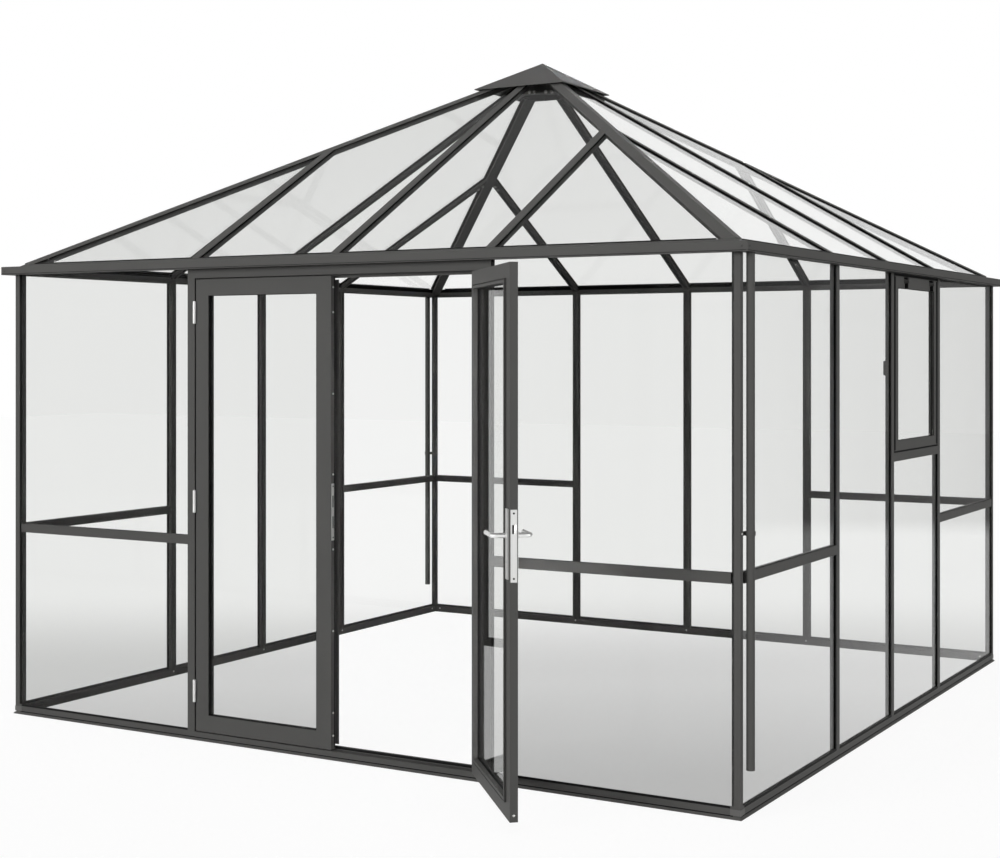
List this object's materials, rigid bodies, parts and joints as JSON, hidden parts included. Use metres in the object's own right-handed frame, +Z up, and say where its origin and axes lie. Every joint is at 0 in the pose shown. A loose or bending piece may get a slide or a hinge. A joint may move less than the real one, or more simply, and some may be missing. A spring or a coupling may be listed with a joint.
{
  "type": "glass greenhouse",
  "caption": "Square glass greenhouse with a dark metal frame, a glazed pyramid roof with a capped peak, gutters with downpipes, hinged double doors and a side window.",
  "frame": {"origin": "underside of the front sill, at the middle of its width and of its depth, under the middle of the doorway", "axes": "+Z up, +Y from the doors into the house, +X to the right as seen from in front of the doors"},
  "size_m": [3.768, 4.3072, 3.1949],
  "materials": {
    "frame": "satin powder coat",
    "glass": "clear float glass",
    "aluminium": "anodised",
    "steel": "satin",
    "gasket": "matte",
    "fitting": "matte",
    "corner_plate": "matte"
  },
  "bodies": {
    "building": {"apex_cap": "frame", "apex_hub": "frame", "back_gutter": "frame", "back_roof_glass": "glass", "back_wall_bars": "frame", "back_wall_glass": "glass", "centre_rafters": "frame", "corner_posts": "frame", "door_header": "frame", "door_post_hinges": "aluminium", "door_posts": "frame", "door_threshold": "frame", "downpipe_clips": "frame", "downpipes": "frame", "eave_beams": "frame", "front_gutter": "frame", "front_roof_glass": "glass", "front_wall_glass": "glass", "hip_bars": "frame", "jack_rafters": "frame", "left_gutter": "frame", "left_roof_glass": "glass", "left_wall_bars": "frame", "left_wall_glass": "glass", "mid_rails": "frame", "right_gutter": "frame", "right_roof_glass": "glass", "right_wall_bars": "frame", "right_wall_glass": "glass", "sill_corner_plates": "corner_plate", "sills": "frame", "window_fittings": "fitting", "window_frame": "frame", "window_glass": "glass", "window_surround": "gasket", "window_transom": "frame"},
    "left_leaf": {"left_leaf_astragal": "frame", "left_leaf_frame": "frame", "left_leaf_glass": "glass", "left_leaf_hinges": "aluminium", "left_leaf_strike": "steel"},
    "right_leaf": {"right_leaf_frame": "frame", "right_leaf_glass": "glass", "right_leaf_hinges": "aluminium", "right_leaf_lock": "steel"},
    "levers": {"door_levers": "steel"}
  },
  "joints": [
    {"name": "left_leaf_hinge", "type": "hinge", "parent": "building", "child": "left_leaf", "pos_m": [-0.736, -0.0185, 1], "axis": [0, 0, -1], "range_deg": [0, 130]},
    {"name": "right_leaf_hinge", "type": "hinge", "parent": "building", "child": "right_leaf", "pos_m": [0.736, -0.0185, 1], "axis": [0, 0, 1], "range_deg": [-132, 18]},
    {"name": "lever_spindle", "type": "hinge", "parent": "right_leaf", "child": "levers", "pos_m": [1.20004, -0.53387, 1.056], "axis": [-0.7431, -0.6691, 0], "range_deg": [0, 45], "stiffness_Nm_per_rad": 2, "springref_deg": -11.46}
  ]
}
